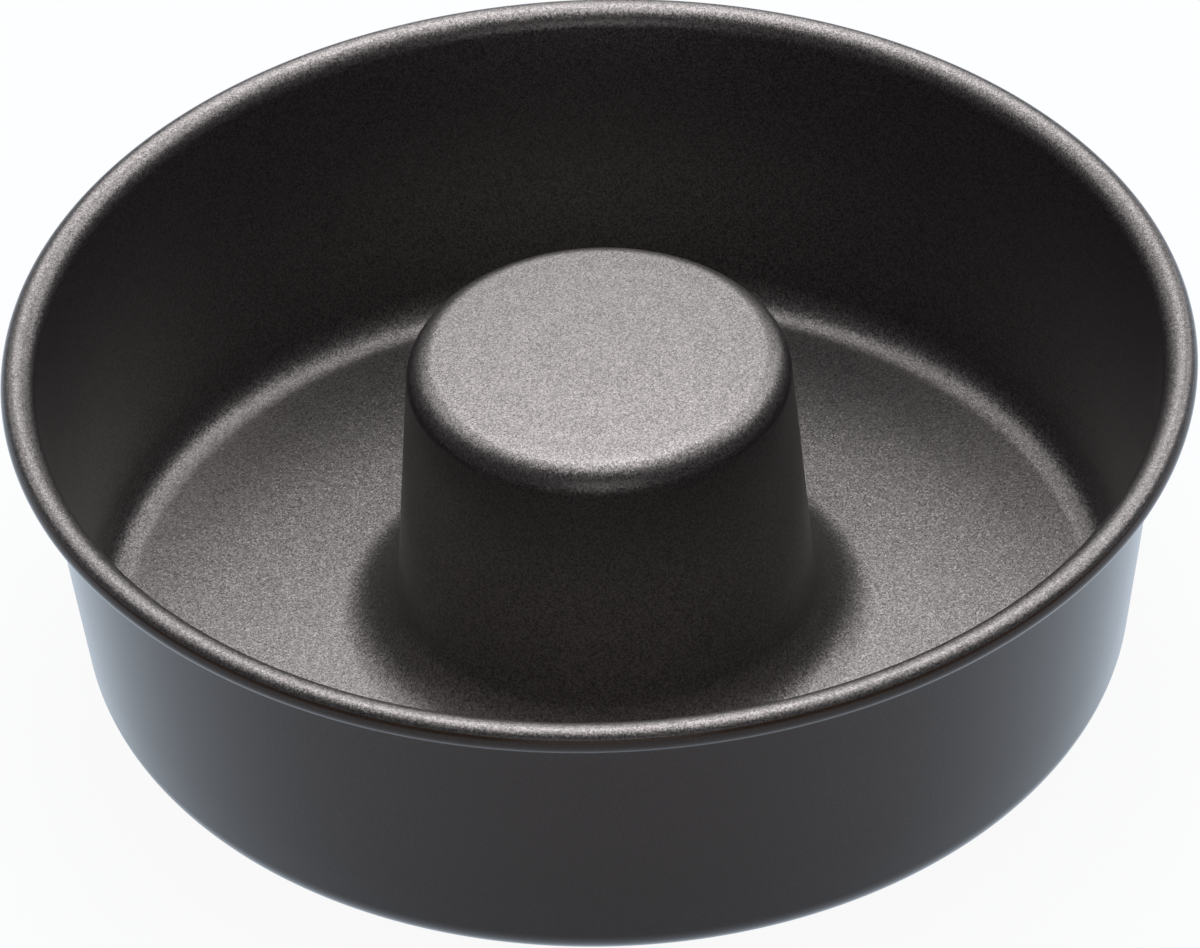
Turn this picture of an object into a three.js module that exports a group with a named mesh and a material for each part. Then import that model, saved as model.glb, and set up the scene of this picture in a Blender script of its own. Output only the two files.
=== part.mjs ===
// Savarin mould: a ring-shaped baking mould deep-drawn from one round blank of coated steel.
// A closed cone rises from the middle of the ring floor, and the rim of the outer wall is curled
// outward and down round a steel wire. Millimetres, +Z up, origin on the axis at the resting plane.
import * as THREE from "three";

// Driving dimensions of the pan
const RIM_DIAMETER = 250;
const HEIGHT = 73;
const SHEET = 0.9;
const WALL_DRAFT = THREE.MathUtils.degToRad(6.6);
const CORNER_RADIUS = 8;

// Driving dimensions of the cone, measured on its coated side
const CONE_TOP_DIAMETER = 80.1;
const CONE_BELOW_RIM = 1.8;
const CONE_DRAFT = THREE.MathUtils.degToRad(4.3);
const CROWN_RADIUS = 750;
const SHOULDER_RADIUS = 6;
const FOOT_RADIUS = 13;

// Driving dimensions of the wired rim; the lip is the rounding from the wall up to the top of the rim
const WIRE_DIAMETER = 3.2;
const WIRE_CLEARANCE = 0.3;
const LIP_RADIUS = 4.6;
const CURL_TURN = THREE.MathUtils.degToRad(250);

// Fineness of the round surfaces
const TURN_SEGMENTS = 64;
const ARC_STEP = THREE.MathUtils.degToRad(22.5);

const QUARTER = Math.PI / 2;
const HALF = Math.PI;
const FULL = 2 * Math.PI;

// Points of a round stretch of a section, in radius and height, from one angle to another.
function arc(centre, radius, from, to) {
  const steps = Math.ceil(Math.abs(to - from) / ARC_STEP);
  return Array.from({ length: steps + 1 }, (_, i) => {
    const angle = from + ((to - from) * i) / steps;
    return new THREE.Vector2(
      centre.x + radius * Math.cos(angle),
      centre.y + radius * Math.sin(angle),
    );
  });
}

// Radius at which a point of the given height lies the given distance from a sloping line. The line
// passes through `through`, and its unit normal leans `lean` above the horizontal, away from the axis.
function radiusBeside(through, lean, distance, height) {
  const rise = (height - through.y) * Math.sin(lean);
  return through.x + (distance - rise) / Math.cos(lean);
}

// Rim: the lip rises from the wall to the top of the rim, and from there the tighter curl turns down and
// back under the wire. Its mouth stays open beside the wall.
const beadRadius = WIRE_DIAMETER / 2 + WIRE_CLEARANCE + SHEET;
const curl = new THREE.Vector2(RIM_DIAMETER / 2 - beadRadius, HEIGHT - beadRadius);
const lip = new THREE.Vector2(curl.x, HEIGHT - LIP_RADIUS);

// Corner between the floor and the outer wall: it lies inside the wall by its own radius.
const cornerHeight = SHEET + CORNER_RADIUS;
const corner = new THREE.Vector2(
  radiusBeside(lip, -WALL_DRAFT, -(LIP_RADIUS + CORNER_RADIUS), cornerHeight),
  cornerHeight,
);

// Cone: its side line passes through the sharp corner that the rounded shoulder replaces, and its top
// is slightly crowned. The shoulder's centre lies one shoulder radius inside the side line and inside
// the crown, so it is where a line beside the cone meets a circle about the crown's centre.
const coneTop = HEIGHT - CONE_BELOW_RIM;
const coneCorner = new THREE.Vector2(CONE_TOP_DIAMETER / 2, coneTop);
const crown = new THREE.Vector2(0, coneTop - CROWN_RADIUS);
const crownReach = CROWN_RADIUS - SHOULDER_RADIUS;
const besideCrown = radiusBeside(coneCorner, CONE_DRAFT, -SHOULDER_RADIUS, crown.y);
const crownToLine = besideCrown * Math.cos(CONE_DRAFT);
const alongLine = besideCrown * Math.sin(CONE_DRAFT) + Math.sqrt(crownReach ** 2 - crownToLine ** 2);
const shoulder = new THREE.Vector2(
  besideCrown - alongLine * Math.sin(CONE_DRAFT),
  crown.y + alongLine * Math.cos(CONE_DRAFT),
);
const crownEdge = Math.atan2(shoulder.y - crown.y, shoulder.x);
const footHeight = SHEET + FOOT_RADIUS;
const foot = new THREE.Vector2(
  radiusBeside(coneCorner, CONE_DRAFT, FOOT_RADIUS, footHeight),
  footHeight,
);

// One side of the sheet from the axis out to the edge of the curl. `depth` is how far this side lies
// below the coated one, so the two sides share every centre and the sheet is equally thick all over.
function sheetSide(depth) {
  return [
    new THREE.Vector2(0, coneTop - depth),
    ...arc(shoulder, SHOULDER_RADIUS - depth, crownEdge, CONE_DRAFT),
    ...arc(foot, FOOT_RADIUS + depth, HALF + CONE_DRAFT, HALF + QUARTER),
    ...arc(corner, CORNER_RADIUS + depth, -QUARTER, -WALL_DRAFT),
    ...arc(lip, LIP_RADIUS - depth, HALF - WALL_DRAFT, QUARTER),
    ...arc(curl, beadRadius - depth, QUARTER, QUARTER - CURL_TURN).slice(1),
  ];
}

// A section turned once about the vertical axis, as a mesh of its own.
function turned(name, section, material) {
  const mesh = new THREE.Mesh(new THREE.LatheGeometry(section, TURN_SEGMENTS), material);
  mesh.name = name;
  mesh.rotation.x = QUARTER;
  return mesh;
}

const coatedSteel = new THREE.MeshStandardMaterial({
  color: 0x3b3736,
  roughness: 0.42,
  metalness: 0.7,
});
const wireSteel = new THREE.MeshStandardMaterial({
  color: 0x9c9d9f,
  roughness: 0.35,
  metalness: 1,
});

const panSection = [...sheetSide(SHEET), ...sheetSide(0).reverse()];
const wireSection = arc(curl, WIRE_DIAMETER / 2, 0, FULL);

const savarinMould = new THREE.Group();
savarinMould.name = "savarin_mould";
savarinMould.add(turned("pan_shell", panSection, coatedSteel));
savarinMould.add(turned("rim_wire", wireSection, wireSteel));

export default savarinMould;
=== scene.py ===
"""Savarin mould of coated pressed steel: a ring-shaped baking pan with a closed cone and a wired rim."""
import math

import bpy
import numpy as np
from mathutils import Matrix, Vector


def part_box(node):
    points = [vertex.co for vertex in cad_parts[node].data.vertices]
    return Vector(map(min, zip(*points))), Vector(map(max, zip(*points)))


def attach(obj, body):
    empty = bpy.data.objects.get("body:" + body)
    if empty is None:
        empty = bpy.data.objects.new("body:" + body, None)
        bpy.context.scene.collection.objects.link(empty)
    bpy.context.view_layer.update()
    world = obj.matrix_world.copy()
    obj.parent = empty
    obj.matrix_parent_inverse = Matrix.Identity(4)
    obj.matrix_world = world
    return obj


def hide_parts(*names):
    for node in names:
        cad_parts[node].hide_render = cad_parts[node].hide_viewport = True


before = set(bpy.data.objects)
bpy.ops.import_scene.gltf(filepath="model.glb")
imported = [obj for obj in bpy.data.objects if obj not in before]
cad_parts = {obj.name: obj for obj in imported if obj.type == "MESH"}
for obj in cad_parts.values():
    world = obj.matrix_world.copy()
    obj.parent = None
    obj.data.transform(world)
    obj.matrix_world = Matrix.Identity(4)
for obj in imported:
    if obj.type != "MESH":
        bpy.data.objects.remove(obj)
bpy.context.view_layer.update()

MM = 0.001
QUARTER = math.pi / 2

# Sizes of the pressed pan, in metres. The rim's reach and height come from the frame.
shell_low, shell_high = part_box("pan_shell")
wire_low, wire_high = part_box("rim_wire")
RIM_RADIUS = shell_high.x
SHEET = 0.9 * MM
WIRE_CLEARANCE = 0.3 * MM
WIRE_RADIUS = (wire_high.z - wire_low.z) / 2
CURL_BORE = WIRE_RADIUS + WIRE_CLEARANCE
BEAD_RADIUS = CURL_BORE + SHEET
CURL_CENTRE = (RIM_RADIUS - BEAD_RADIUS, (wire_high.z + wire_low.z) / 2)
RIM_HEIGHT = CURL_CENTRE[1] + BEAD_RADIUS
LIP_RADIUS = 4.6 * MM
LIP_CENTRE = (CURL_CENTRE[0], RIM_HEIGHT - LIP_RADIUS)
WALL_DRAFT = math.radians(6.6)
CORNER_RADIUS = 8 * MM

# The curl turns outward and down from the top of the rim, and the inner coating ends at a line on it.
# Both corners of the sheet's cut edge are slightly rounded.
CURL_TURN = math.radians(250)
CURL_END = QUARTER - CURL_TURN
PAINT_LINE = math.radians(35)
EDGE_ROUND = 0.12 * MM

# Sizes of the cone, on its coated side
CONE_TOP_RADIUS = 40.05 * MM
CONE_BELOW_RIM = 1.8 * MM
CONE_TOP = RIM_HEIGHT - CONE_BELOW_RIM
CROWN_RADIUS = 750 * MM
CONE_DRAFT = math.radians(4.3)
SHOULDER_RADIUS = 6 * MM
FOOT_RADIUS = 13 * MM

# Fineness of the turned surfaces: steps round the axis and along each stretch of a section
TURN_STEPS = 320
CROWN_STEPS = 12
SHOULDER_STEPS = 20
FOOT_STEPS = 20
CORNER_STEPS = 16
LIP_STEPS = 16
COATED_CURL_STEPS = 8
LACQUERED_CURL_STEPS = 30
STRAIGHT_STEPS = 5
EDGE_ROUND_STEPS = 3
WIRE_TURN_STEPS = 240
WIRE_SECTION_STEPS = 24


def arc(centre, radius, start, end, steps):
    """Points at even angles on a circle: centre plus radius times cosine and sine, from start to end."""
    angle = np.linspace(start, end, steps + 1)
    return np.stack([centre[0] + radius * np.cos(angle), centre[1] + radius * np.sin(angle)], axis=1)


def line(start, end, steps):
    """Points at even spacing strictly between two points of the section."""
    share = np.arange(1, steps)[:, None] / steps
    return np.asarray(start) * (1 - share) + np.asarray(end) * share


def beside(through, lean, distance, height):
    """Point at a height that lies a distance from a sloping line: the line passes through a point, and
    its unit normal leans above the horizontal, away from the axis."""
    rise = (height - through[1]) * math.sin(lean)
    return (through[0] + (distance - rise) / math.cos(lean), height)


CORNER_CENTRE = beside(LIP_CENTRE, -WALL_DRAFT, -(LIP_RADIUS + CORNER_RADIUS), SHEET + CORNER_RADIUS)
CONE_CORNER = (CONE_TOP_RADIUS, CONE_TOP)
CROWN_CENTRE = (0.0, CONE_TOP - CROWN_RADIUS)


def shoulder_centre():
    """Centre of the arc that touches the crown from inside and the cone's side line. It lies one shoulder
    radius inside both: where a line beside the cone meets a circle about the crown's centre."""
    beside_crown = beside(CONE_CORNER, CONE_DRAFT, -SHOULDER_RADIUS, CROWN_CENTRE[1])[0]
    crown_to_line = beside_crown * math.cos(CONE_DRAFT)
    reach = CROWN_RADIUS - SHOULDER_RADIUS
    along = beside_crown * math.sin(CONE_DRAFT) + math.sqrt(reach ** 2 - crown_to_line ** 2)
    return (beside_crown - along * math.sin(CONE_DRAFT), CROWN_CENTRE[1] + along * math.cos(CONE_DRAFT))


SHOULDER_CENTRE = shoulder_centre()
CROWN_LEAN = math.atan2(SHOULDER_CENTRE[0], SHOULDER_CENTRE[1] - CROWN_CENTRE[1])
FOOT_CENTRE = beside(CONE_CORNER, CONE_DRAFT, FOOT_RADIUS, SHEET + FOOT_RADIUS)


def sheet_side(depth):
    """One side of the sheet from the axis to the cut edge, `depth` below the coated side: crowned cone
    top, shoulder arc, straight cone side, foot arc, flat floor, corner arc, straight wall, lip arc up to
    the top of the rim, curl arc down to the paint line and on to the end."""
    crown_edge = QUARTER - CROWN_LEAN
    crown = arc(CROWN_CENTRE, CROWN_RADIUS - depth, QUARTER, crown_edge, CROWN_STEPS)
    shoulder = arc(SHOULDER_CENTRE, SHOULDER_RADIUS - depth, crown_edge, CONE_DRAFT, SHOULDER_STEPS)
    foot = arc(FOOT_CENTRE, FOOT_RADIUS + depth, math.pi + CONE_DRAFT, math.pi + QUARTER, FOOT_STEPS)
    corner = arc(CORNER_CENTRE, CORNER_RADIUS + depth, -QUARTER, -WALL_DRAFT, CORNER_STEPS)
    lip = arc(LIP_CENTRE, LIP_RADIUS - depth, math.pi - WALL_DRAFT, QUARTER, LIP_STEPS)
    curl = arc(CURL_CENTRE, BEAD_RADIUS - depth, QUARTER, PAINT_LINE, COATED_CURL_STEPS)
    under_line = arc(CURL_CENTRE, BEAD_RADIUS - depth, PAINT_LINE, CURL_END, LACQUERED_CURL_STEPS)
    stretches = [shoulder, foot, corner, lip]
    side = [crown[:-1]]
    for near, far in zip(stretches, stretches[1:]):
        side += [near, line(near[-1], far[0], STRAIGHT_STEPS)]
    return np.concatenate(side + [lip, curl[1:], under_line[1:]])


def cut_edge():
    """The sheet's cut end: a straight face across the sheet with a small round at each corner."""
    along = np.array([math.sin(CURL_END), -math.cos(CURL_END)])
    across = np.array([math.cos(CURL_END), math.sin(CURL_END)])
    outer = np.asarray(CURL_CENTRE) + across * (BEAD_RADIUS - EDGE_ROUND)
    inner = np.asarray(CURL_CENTRE) + across * (CURL_BORE + EDGE_ROUND)
    turn = np.linspace(0, QUARTER, EDGE_ROUND_STEPS + 1)[:, None]
    rounds = [outer + EDGE_ROUND * (across * np.cos(turn) + along * np.sin(turn)),
              inner + EDGE_ROUND * (along * np.cos(turn) - across * np.sin(turn))]
    return np.concatenate([rounds[0][1:], rounds[1][:-1]])


def turned(name, section, steps, closed):
    """Surface of revolution: each point of the section, a radius and a height, swept round the vertical
    axis. An open section starts and ends on the axis, where its end rings shrink to one point each."""
    turn = np.arange(steps) * (2 * math.pi / steps)
    rings = section if closed else section[1:-1]
    grid = np.stack([
        rings[:, None, 0] * np.cos(turn),
        rings[:, None, 0] * np.sin(turn),
        np.broadcast_to(rings[:, None, 1], (len(rings), steps)),
    ], axis=2)
    index = np.arange(len(rings) * steps).reshape(len(rings), steps)
    here = index if closed else index[:-1]
    there = np.roll(index, -1, axis=0) if closed else index[1:]
    quads = np.stack([here, there, np.roll(there, -1, axis=1), np.roll(here, -1, axis=1)], axis=2)
    vertices = grid.reshape(-1, 3)
    faces = quads.reshape(-1, 4).tolist()
    if not closed:
        poles = np.stack([np.zeros(2), np.zeros(2), section[[0, -1], 1]], axis=1)
        vertices = np.concatenate([vertices, poles])
        first, last = len(vertices) - 2, len(vertices) - 1
        caps = [np.stack([np.full(steps, first), index[0], np.roll(index[0], -1)], axis=1),
                np.stack([np.full(steps, last), np.roll(index[-1], -1), index[-1]], axis=1)]
        faces += caps[0].tolist() + caps[1].tolist()
    mesh = bpy.data.meshes.new(name)
    mesh.from_pydata(vertices.tolist(), [], faces)
    mesh.polygons.foreach_set("use_smooth", np.ones(len(mesh.polygons), dtype=bool))
    mesh.update()
    piece = bpy.data.objects.new(name, mesh)
    bpy.context.scene.collection.objects.link(piece)
    return piece


def linear(hex_colour):
    """sRGB hex colour as linear red, green, blue and full alpha."""
    srgb = np.array([int(hex_colour[i:i + 2], 16) for i in (1, 3, 5)]) / 255
    low = srgb / 12.92
    high = ((srgb + 0.055) / 1.055) ** 2.4
    return (*np.where(srgb <= 0.04045, low, high), 1.0)


def node(tree, kind, settings=None, inputs=None):
    """Adds a node, sets its properties, and links or fills its inputs by name or number."""
    made = tree.nodes.new(kind)
    for key, value in (settings or {}).items():
        setattr(made, key, value)
    for key, value in (inputs or {}).items():
        if isinstance(value, bpy.types.NodeSocket):
            tree.links.new(value, made.inputs[key])
        else:
            made.inputs[key].default_value = value
    return made


def material(name):
    """An empty node material and its output's surface socket."""
    made = bpy.data.materials.new(name)
    made.use_nodes = True
    made.node_tree.nodes.clear()
    output = made.node_tree.nodes.new("ShaderNodeOutputMaterial")
    return made, made.node_tree, output.inputs["Surface"]


def per_metre(size_mm):
    """Pattern scale that makes one period of a noise or cell pattern as wide as a size in millimetres."""
    return 1 / (size_mm * MM)


# Flakes of the coating: how wide they are drawn, how far they tilt, and how rough the smoothest and the
# dullest are. Real flakes are a few hundredths of a millimetre across; these are drawn as coarse as they
# need to be to show.
FLAKE_MM = 0.29
FLAKE_TILT = 0.14
FLAKE_ROUGHNESS = (0.36, 0.42)


def nonstick_coating():
    """Sprayed non-stick coating with mica flake: dark warm graphite flakes under a satin skin of clear resin.
    The flakes lie nearly flat at slightly different tilts, so lit stretches show a fine even sparkle."""
    made, tree, surface = material("sprayed_nonstick_coating_with_mica_flake")
    place = node(tree, "ShaderNodeTexCoord").outputs["Object"]
    flakes = node(tree, "ShaderNodeTexVoronoi", {"feature": "F1"}, {
        "Vector": place, "Scale": per_metre(FLAKE_MM)}).outputs["Color"]
    chance = node(tree, "ShaderNodeSeparateColor", {}, {"Color": flakes})
    rough = node(tree, "ShaderNodeMapRange", {}, {
        "Value": chance.outputs["Red"], "To Min": FLAKE_ROUGHNESS[0], "To Max": FLAKE_ROUGHNESS[1]})
    tone = node(tree, "ShaderNodeMix", {"data_type": "RGBA"}, {
        "Factor": chance.outputs["Blue"], "A": linear("#4f4b4b"), "B": linear("#898484")})
    lean = node(tree, "ShaderNodeVectorMath", {"operation": "SUBTRACT"}, {0: flakes, 1: (0.5, 0.5, 0.5)})
    small_lean = node(tree, "ShaderNodeVectorMath", {"operation": "SCALE"}, {
        0: lean.outputs[0], "Scale": FLAKE_TILT})
    normal = node(tree, "ShaderNodeNewGeometry").outputs["Normal"]
    tilted = node(tree, "ShaderNodeVectorMath", {"operation": "ADD"}, {0: normal, 1: small_lean.outputs[0]})
    flake_normal = node(tree, "ShaderNodeVectorMath", {"operation": "NORMALIZE"}, {0: tilted.outputs[0]})
    shader = node(tree, "ShaderNodeBsdfPrincipled", {}, {
        "Base Color": tone.outputs["Result"],
        "Metallic": 0.95,
        "Roughness": rough.outputs["Result"],
        "Normal": flake_normal.outputs[0],
        "Coat Weight": 0.5,
        "Coat Roughness": 0.35,
        "Coat IOR": 1.5,
    })
    tree.links.new(shader.outputs[0], surface)
    return made


# Lacquer: width of its cloudiness, of its orange peel and of its pigment's grit, and the depth of the peel.
# Real grit is finer than a hair; it is drawn as coarse as it needs to be to show.
CLOUD_MM = 12
PEEL_MM = 1.2
PEEL_DEPTH = 0.02 * MM
GRIT_MM = 0.4


def outer_lacquer():
    """Baked black lacquer on the outside of the pan: brown-black, with a clear skin that is smoother than the
    coating inside. The skin hardly shines face on, but shows the pale table as a sheen towards the sides."""
    made, tree, surface = material("baked_black_outer_lacquer")
    place = node(tree, "ShaderNodeTexCoord").outputs["Object"]
    cloud = node(tree, "ShaderNodeTexNoise", {}, {
        "Vector": place, "Scale": per_metre(CLOUD_MM), "Detail": 4.0})
    grit = node(tree, "ShaderNodeTexNoise", {}, {
        "Vector": place, "Scale": per_metre(GRIT_MM), "Detail": 1.0})
    rough = node(tree, "ShaderNodeMapRange", {}, {
        "Value": cloud.outputs["Fac"], "To Min": 0.18, "To Max": 0.22})
    tone = node(tree, "ShaderNodeMix", {"data_type": "RGBA"}, {
        "Factor": grit.outputs["Fac"], "A": linear("#241b17"), "B": linear("#4d3a2f")})
    peel = node(tree, "ShaderNodeTexNoise", {}, {
        "Vector": place, "Scale": per_metre(PEEL_MM), "Detail": 2.0})
    skin = node(tree, "ShaderNodeBump", {}, {
        "Height": peel.outputs["Fac"], "Strength": 0.15, "Distance": PEEL_DEPTH})
    shader = node(tree, "ShaderNodeBsdfPrincipled", {}, {
        "Base Color": tone.outputs["Result"],
        "Roughness": rough.outputs["Result"],
        "Normal": skin.outputs[0],
        "IOR": 1.25,
        "Coat Weight": 1.0,
        "Coat Roughness": 0.2,
        "Coat IOR": 1.25,
    })
    tree.links.new(shader.outputs[0], surface)
    return made


def bare_steel(name, colour, scratch_mm):
    """Bare mild steel, sheared or drawn: grey metal, unevenly dulled by fine scoring."""
    made, tree, surface = material(name)
    place = node(tree, "ShaderNodeTexCoord").outputs["Object"]
    scoring = node(tree, "ShaderNodeTexNoise", {}, {
        "Vector": place, "Scale": per_metre(scratch_mm), "Detail": 5.0})
    rough = node(tree, "ShaderNodeMapRange", {}, {
        "Value": scoring.outputs["Fac"], "To Min": 0.28, "To Max": 0.45})
    tone = node(tree, "ShaderNodeMix", {"data_type": "RGBA"}, {
        "Factor": scoring.outputs["Fac"], "A": linear(colour), "B": linear("#b9babc")})
    shader = node(tree, "ShaderNodeBsdfPrincipled", {}, {
        "Base Color": tone.outputs["Result"], "Metallic": 1.0, "Roughness": rough.outputs["Result"]})
    tree.links.new(shader.outputs[0], surface)
    return made


# Order of the finishes on the pan's sheet
COATING, LACQUER, CUT_STEEL = range(3)


def pan_shell():
    """The drawn pan as one closed sheet: coated side out to the paint line on the bead, lacquer from there
    to the cut edge, then lacquer back under the whole sheet."""
    coated, under, edge = sheet_side(0.0), sheet_side(SHEET), cut_edge()
    section = np.concatenate([coated[:-1], edge, under[:-1][::-1]])
    piece = turned("pan_shell_sheet", section, TURN_STEPS, closed=False)
    finishes = (
        nonstick_coating(),
        outer_lacquer(),
        bare_steel("sheared_steel_edge", "#8b8c8e", scratch_mm=0.3),
    )
    for finish in finishes:
        piece.data.materials.append(finish)
    # Band number n lies between points n + 1 and n + 2 of the section; the caps at the axis come last.
    band = np.arange(len(section) - 3)
    edge_start = len(coated) - 2
    past_coating = band >= edge_start - LACQUERED_CURL_STEPS
    on_edge = (band >= edge_start) & (band < edge_start + len(edge))
    finish_of_band = np.where(on_edge, CUT_STEEL, np.where(past_coating, LACQUER, COATING))
    finish_of_face = np.repeat(np.append(finish_of_band, [COATING, LACQUER]), TURN_STEPS)
    piece.data.polygons.foreach_set("material_index", finish_of_face.astype(np.int32))
    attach(piece, "root")
    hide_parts("pan_shell")


def rim_wire():
    """The wire ring in the curl: a circle swept round the axis."""
    section = arc(CURL_CENTRE, WIRE_RADIUS, 2 * math.pi, 0, WIRE_SECTION_STEPS)[:-1]
    piece = turned("rim_wire_ring", section, WIRE_TURN_STEPS, closed=True)
    piece.data.materials.append(bare_steel("drawn_steel_wire", "#8f9092", scratch_mm=0.4))
    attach(piece, "root")
    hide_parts("rim_wire")


# Camera: the photograph's view, from above and in front, turned a little about its own axis
CAMERA_ELEVATION = math.radians(39.12)
CAMERA_ROLL = math.radians(-2.11)
CAMERA_DISTANCE = 1.716
CAMERA_ASIDE = (-0.00168, 0.02955)
CAMERA_LENS_MM = 240
SENSOR_MM = 36


def add_camera():
    """Camera on the -Y side: its place is a distance along its own back axis and a shift in its own plane."""
    back = Vector((0, -math.cos(CAMERA_ELEVATION), math.sin(CAMERA_ELEVATION)))
    level = Vector((1, 0, 0))
    upright = back.cross(level)
    right = math.cos(CAMERA_ROLL) * level + math.sin(CAMERA_ROLL) * upright
    up = back.cross(right)
    place = back * CAMERA_DISTANCE + right * CAMERA_ASIDE[0] + up * CAMERA_ASIDE[1]
    data = bpy.data.cameras.new("camera")
    data.sensor_width = SENSOR_MM
    data.lens = CAMERA_LENS_MM
    camera = bpy.data.objects.new("camera", data)
    camera.matrix_world = Matrix.Translation(place) @ Matrix((right, up, back)).transposed().to_4x4()
    bpy.context.scene.collection.objects.link(camera)
    bpy.context.scene.camera = camera


# Table: how far it extends, its height, a hair under the resting plane so that no two faces coincide, and
# how much of it shows as plain white instead of lit, to the eye and in gloss
TABLE_HALF = 4.0
TABLE_HEIGHT = -0.05 * MM
TABLE_WHITE_SEEN = 0.94
TABLE_WHITE_REFLECTED = 0.85


def add_table():
    """Pale table top under the mould. It keeps the mould's soft shadow, and its white share makes it fade
    into the background where it is seen directly. In a reflection or through glass that share is cooler."""
    half, height = TABLE_HALF, TABLE_HEIGHT
    mesh = bpy.data.meshes.new("table_top")
    corners = [(-half, -half, height), (half, -half, height), (half, half, height), (-half, half, height)]
    mesh.from_pydata(corners, [], [(0, 1, 2, 3)])
    table = bpy.data.objects.new("table_top", mesh)
    bpy.context.scene.collection.objects.link(table)
    made, tree, surface = material("matt_pale_table")
    path = node(tree, "ShaderNodeLightPath")
    reflected = node(tree, "ShaderNodeMath", {"operation": "MAXIMUM"}, {
        0: path.outputs["Is Glossy Ray"], 1: path.outputs["Is Transmission Ray"]})
    reflected_share = node(tree, "ShaderNodeMath", {"operation": "MULTIPLY"}, {
        0: reflected.outputs[0], 1: TABLE_WHITE_REFLECTED})
    seen_share = node(tree, "ShaderNodeMath", {"operation": "MULTIPLY"}, {
        0: path.outputs["Is Camera Ray"], 1: TABLE_WHITE_SEEN})
    share = node(tree, "ShaderNodeMath", {"operation": "MAXIMUM"}, {
        0: reflected_share.outputs[0], 1: seen_share.outputs[0]})
    matt = node(tree, "ShaderNodeBsdfDiffuse", {}, {"Color": linear("#d6e4f6")})
    tint = node(tree, "ShaderNodeMix", {"data_type": "RGBA"}, {
        "Factor": path.outputs["Is Camera Ray"], "A": linear("#dde9f6"), "B": linear("#ffffff")})
    white = node(tree, "ShaderNodeEmission", {}, {"Color": tint.outputs["Result"], "Strength": 1.0})
    mixed = node(tree, "ShaderNodeMixShader", {}, {
        0: share.outputs[0], 1: matt.outputs[0], 2: white.outputs[0]})
    tree.links.new(mixed.outputs[0], surface)
    mesh.materials.append(made)


# Soft lamps, all at one distance and turned to the mould: azimuth from +X towards the back, elevation,
# side length in metres, power in watts
LAMP_DISTANCE = 1.6
LAMP_AIM = Vector((0, 0, 0.03))
LAMPS = {
    "softbox_overhead": (90, 89, 0.80, 6.2),
    "softbox_behind_high": (90, 61, 0.75, 9.8),
    "softbox_behind_low": (90, 33, 0.70, 2.9),
    "softbox_behind_right": (50, 40, 0.70, 3.0),
    "softbox_behind_left": (130, 38, 0.70, 1.8),
    "softbox_right": (28, 52, 0.75, 3.7),
    "softbox_left": (150, 57, 0.75, 2.3),
    "softbox_low_right": (52, 20, 0.40, 0.7),
    "softbox_front_right": (330, 61, 0.75, 0.6),
    "softbox_front_low": (270, 18, 0.85, 1.5),
}


def add_softbox(name, azimuth, elevation, side, power):
    """Square soft lamp in a direction from the mould, facing it."""
    turn, climb = math.radians(azimuth), math.radians(elevation)
    data = bpy.data.lights.new(name, "AREA")
    data.shape = "SQUARE"
    data.size = side
    data.energy = power
    lamp = bpy.data.objects.new(name, data)
    lamp.location = LAMP_DISTANCE * Vector((
        math.cos(turn) * math.cos(climb), math.sin(turn) * math.cos(climb), math.sin(climb)))
    lamp.rotation_euler = (LAMP_AIM - lamp.location).to_track_quat("-Z", "Y").to_euler()
    lamp.visible_camera = False
    bpy.context.scene.collection.objects.link(lamp)


# Room light: its strength on the mould
WORLD_FILL = 0.08


def add_world():
    """Dim room light, with a white background for what the camera sees directly."""
    world = bpy.data.worlds.new("studio")
    world.use_nodes = True
    tree = world.node_tree
    tree.nodes.clear()
    path = node(tree, "ShaderNodeLightPath")
    strength = node(tree, "ShaderNodeMapRange", {}, {
        "Value": path.outputs["Is Camera Ray"], "To Min": WORLD_FILL, "To Max": 1.0})
    sky = node(tree, "ShaderNodeBackground", {}, {
        "Color": linear("#ffffff"), "Strength": strength.outputs["Result"]})
    node(tree, "ShaderNodeOutputWorld", {}, {"Surface": sky.outputs[0]})
    bpy.context.scene.world = world


add_camera()
add_world()
add_table()
for lamp_name, setting in LAMPS.items():
    add_softbox(lamp_name, *setting)
pan_shell()
rim_wire()

bpy.context.scene.view_settings.view_transform = "Standard"
